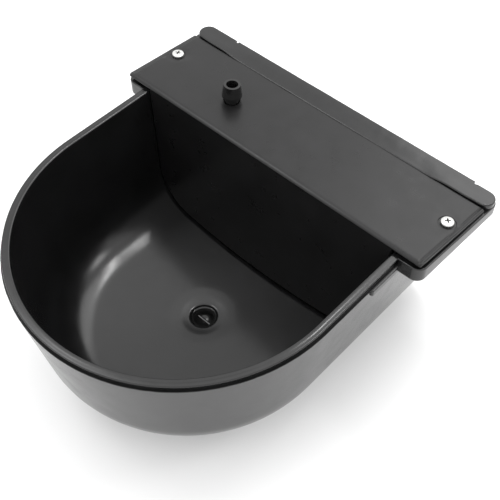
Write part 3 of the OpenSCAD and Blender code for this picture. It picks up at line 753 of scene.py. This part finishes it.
def cover_screws():
    made = Build(on_cover)
    for side, turn in ((-1, 0.35), (1, 0.72)):
        cross_screw(made, side * SCREW_X, SCREW_V, turn, HEAD_R, HEAD_H, -RECESS_D, 2.0, 11.0)
    # The second material is the painted shade on the faces inside the cross recess.
    return made.piece("screws", "bowl", "zinc_screw", ["cover_screws"], sharp=60.0, second="painted_recess_shade")


def drain_plug():
    """Deep smooth cup with a grip bar across its floor, a flange below and a hexagon to turn it by."""
    made = Build()
    top = FLOOR_Z - 2.0
    cup_r, cup_z, cup_depth = 5.8, top - 3.7, 3.3
    turns = [math.pi / 2 * k / 12 for k in range(13)]
    profile = [(cup_r * math.sin(a), cup_z - cup_depth * math.cos(a)) for a in turns]
    profile += [(5.9, top - 3.6), (6.3, top - 2.5), (6.9, top - 1.6), (7.6, top - 0.9), (8.3, top - 0.35)]
    profile += [(8.6, top - 0.3), (8.85, top - 0.5), (8.95, top - 0.9), (8.95, 6.9)]
    made.turned(0, DRAIN_Y, profile)
    bar = [(-5.9, DRAIN_Y - 1.2), (5.9, DRAIN_Y - 1.2), (5.9, DRAIN_Y + 1.2), (-5.9, DRAIN_Y + 1.2)]
    made.block(bar, lambda x, y: top - 7.4, lambda x, y: top - 3.9, edge=1.1)
    flange = [(8.9, 6.8), (12.4, 6.8), (12.85, 6.6), (13.0, 6.2), (13.0, 4.8), (12.8, 4.35), (12.4, 4.2)]
    made.turned(0, DRAIN_Y, flange + [(8.0, 4.2)], flip=True)
    flats = 17 / 2 / math.cos(math.radians(30))
    hexagon = [Vector(p) for p in ring(0, DRAIN_Y, flats, 6)]
    outline = []
    for a, b, c in zip(hexagon[-1:] + hexagon[:-1], hexagon, hexagon[1:] + hexagon[:1]):
        before, after = (a - b).normalized(), (c - b).normalized()
        outline += [tuple(b + before * 0.8), tuple(b + (before + after) * 0.18), tuple(b + after * 0.8)]
    made.block(outline, lambda x, y: 1.0, lambda x, y: 4.6, edge=0.4)
    return made.piece("plug", "drain_screw", "valve_plastic", ["drain_plug"])


bowl()
rear_cap()
cover()
cover_screws()
drain_plug()


# ---- Studio ----


def stage_material(name, colour, rough):
    mat, tree, shader = principled(name)
    dark = tuple(c * 0.99 for c in colour)
    blend_colours(tree, noise(tree, 3.0), dark, colour, shader.inputs["Base Color"])
    shader.inputs["Roughness"].default_value = rough
    return mat


def studio():
    mesh = bpy.data.meshes.new("floor")
    reach = 40.0
    corners = ((-1, -1), (1, -1), (1, 1), (-1, 1))
    mesh.from_pydata([(x * reach, y * reach, 0) for x, y in corners], [], [(0, 1, 2, 3)])
    floor = bpy.data.objects.new("floor", mesh)
    bpy.context.scene.collection.objects.link(floor)
    mesh.materials.append(stage_material("floor_white", (0.88, 0.88, 0.88), 0.9))
    world = bpy.data.worlds.new("studio")
    bpy.context.scene.world = world
    world.use_nodes = True
    background = world.node_tree.nodes["Background"]
    background.inputs["Color"].default_value = (1, 1, 1, 1)
    background.inputs["Strength"].default_value = 1.45


def light(name, azimuth, elevation, distance, across, tall, radiance):
    """A rectangular soft light; azimuth is measured from +Y towards -X, in degrees."""
    data = bpy.data.lights.new(name, "AREA")
    data.shape = "RECTANGLE"
    data.size, data.size_y = across, tall
    data.energy = radiance * math.pi * across * tall
    lamp = bpy.data.objects.new(name, data)
    bpy.context.scene.collection.objects.link(lamp)
    a, e = math.radians(azimuth), math.radians(elevation)
    way = Vector((-math.sin(a) * math.cos(e), math.cos(a) * math.cos(e), math.sin(e)))
    lamp.location = Vector((0, 0, 0.08)) + way * distance
    lamp.rotation_mode = "QUATERNION"
    lamp.rotation_quaternion = way.to_track_quat("Z", "Y")


def camera():
    az, el, roll = (math.radians(a) for a in (44.30, 51.98, -1.62))
    target, distance = Vector((41.82, -5.22, 122.0)), 525.31
    forward = Vector((-math.sin(az) * math.cos(el), math.cos(az) * math.cos(el), -math.sin(el)))
    level = Vector((math.cos(az), math.sin(az), 0))
    above = level.cross(forward)
    right = level * math.cos(roll) + above * math.sin(roll)
    up = above * math.cos(roll) - level * math.sin(roll)
    data = bpy.data.cameras.new("camera")
    data.sensor_width = 36.0
    data.lens = 63.56
    data.clip_start, data.clip_end = 0.01, 100.0
    cam = bpy.data.objects.new("camera", data)
    bpy.context.scene.collection.objects.link(cam)
    turn = Matrix((right, up, -forward)).transposed().to_4x4()
    cam.matrix_world = Matrix.Translation((target - forward * distance) * MM) @ turn
    bpy.context.scene.camera = cam


studio()
light("strip", -8, 65, 1.6, 0.62, 0.13, 20.0)
light("edge", -45, 42, 1.6, 0.3, 0.3, 7.0)
light("glow", 22, 64, 1.6, 0.8, 0.6, 0.5)
light("soft_right", 6, 44, 1.8, 0.9, 0.9, 2.0)
light("soft_left", 100, 62, 1.6, 0.7, 0.35, 5.0)
camera()
bpy.context.scene.view_settings.view_transform = "Standard"
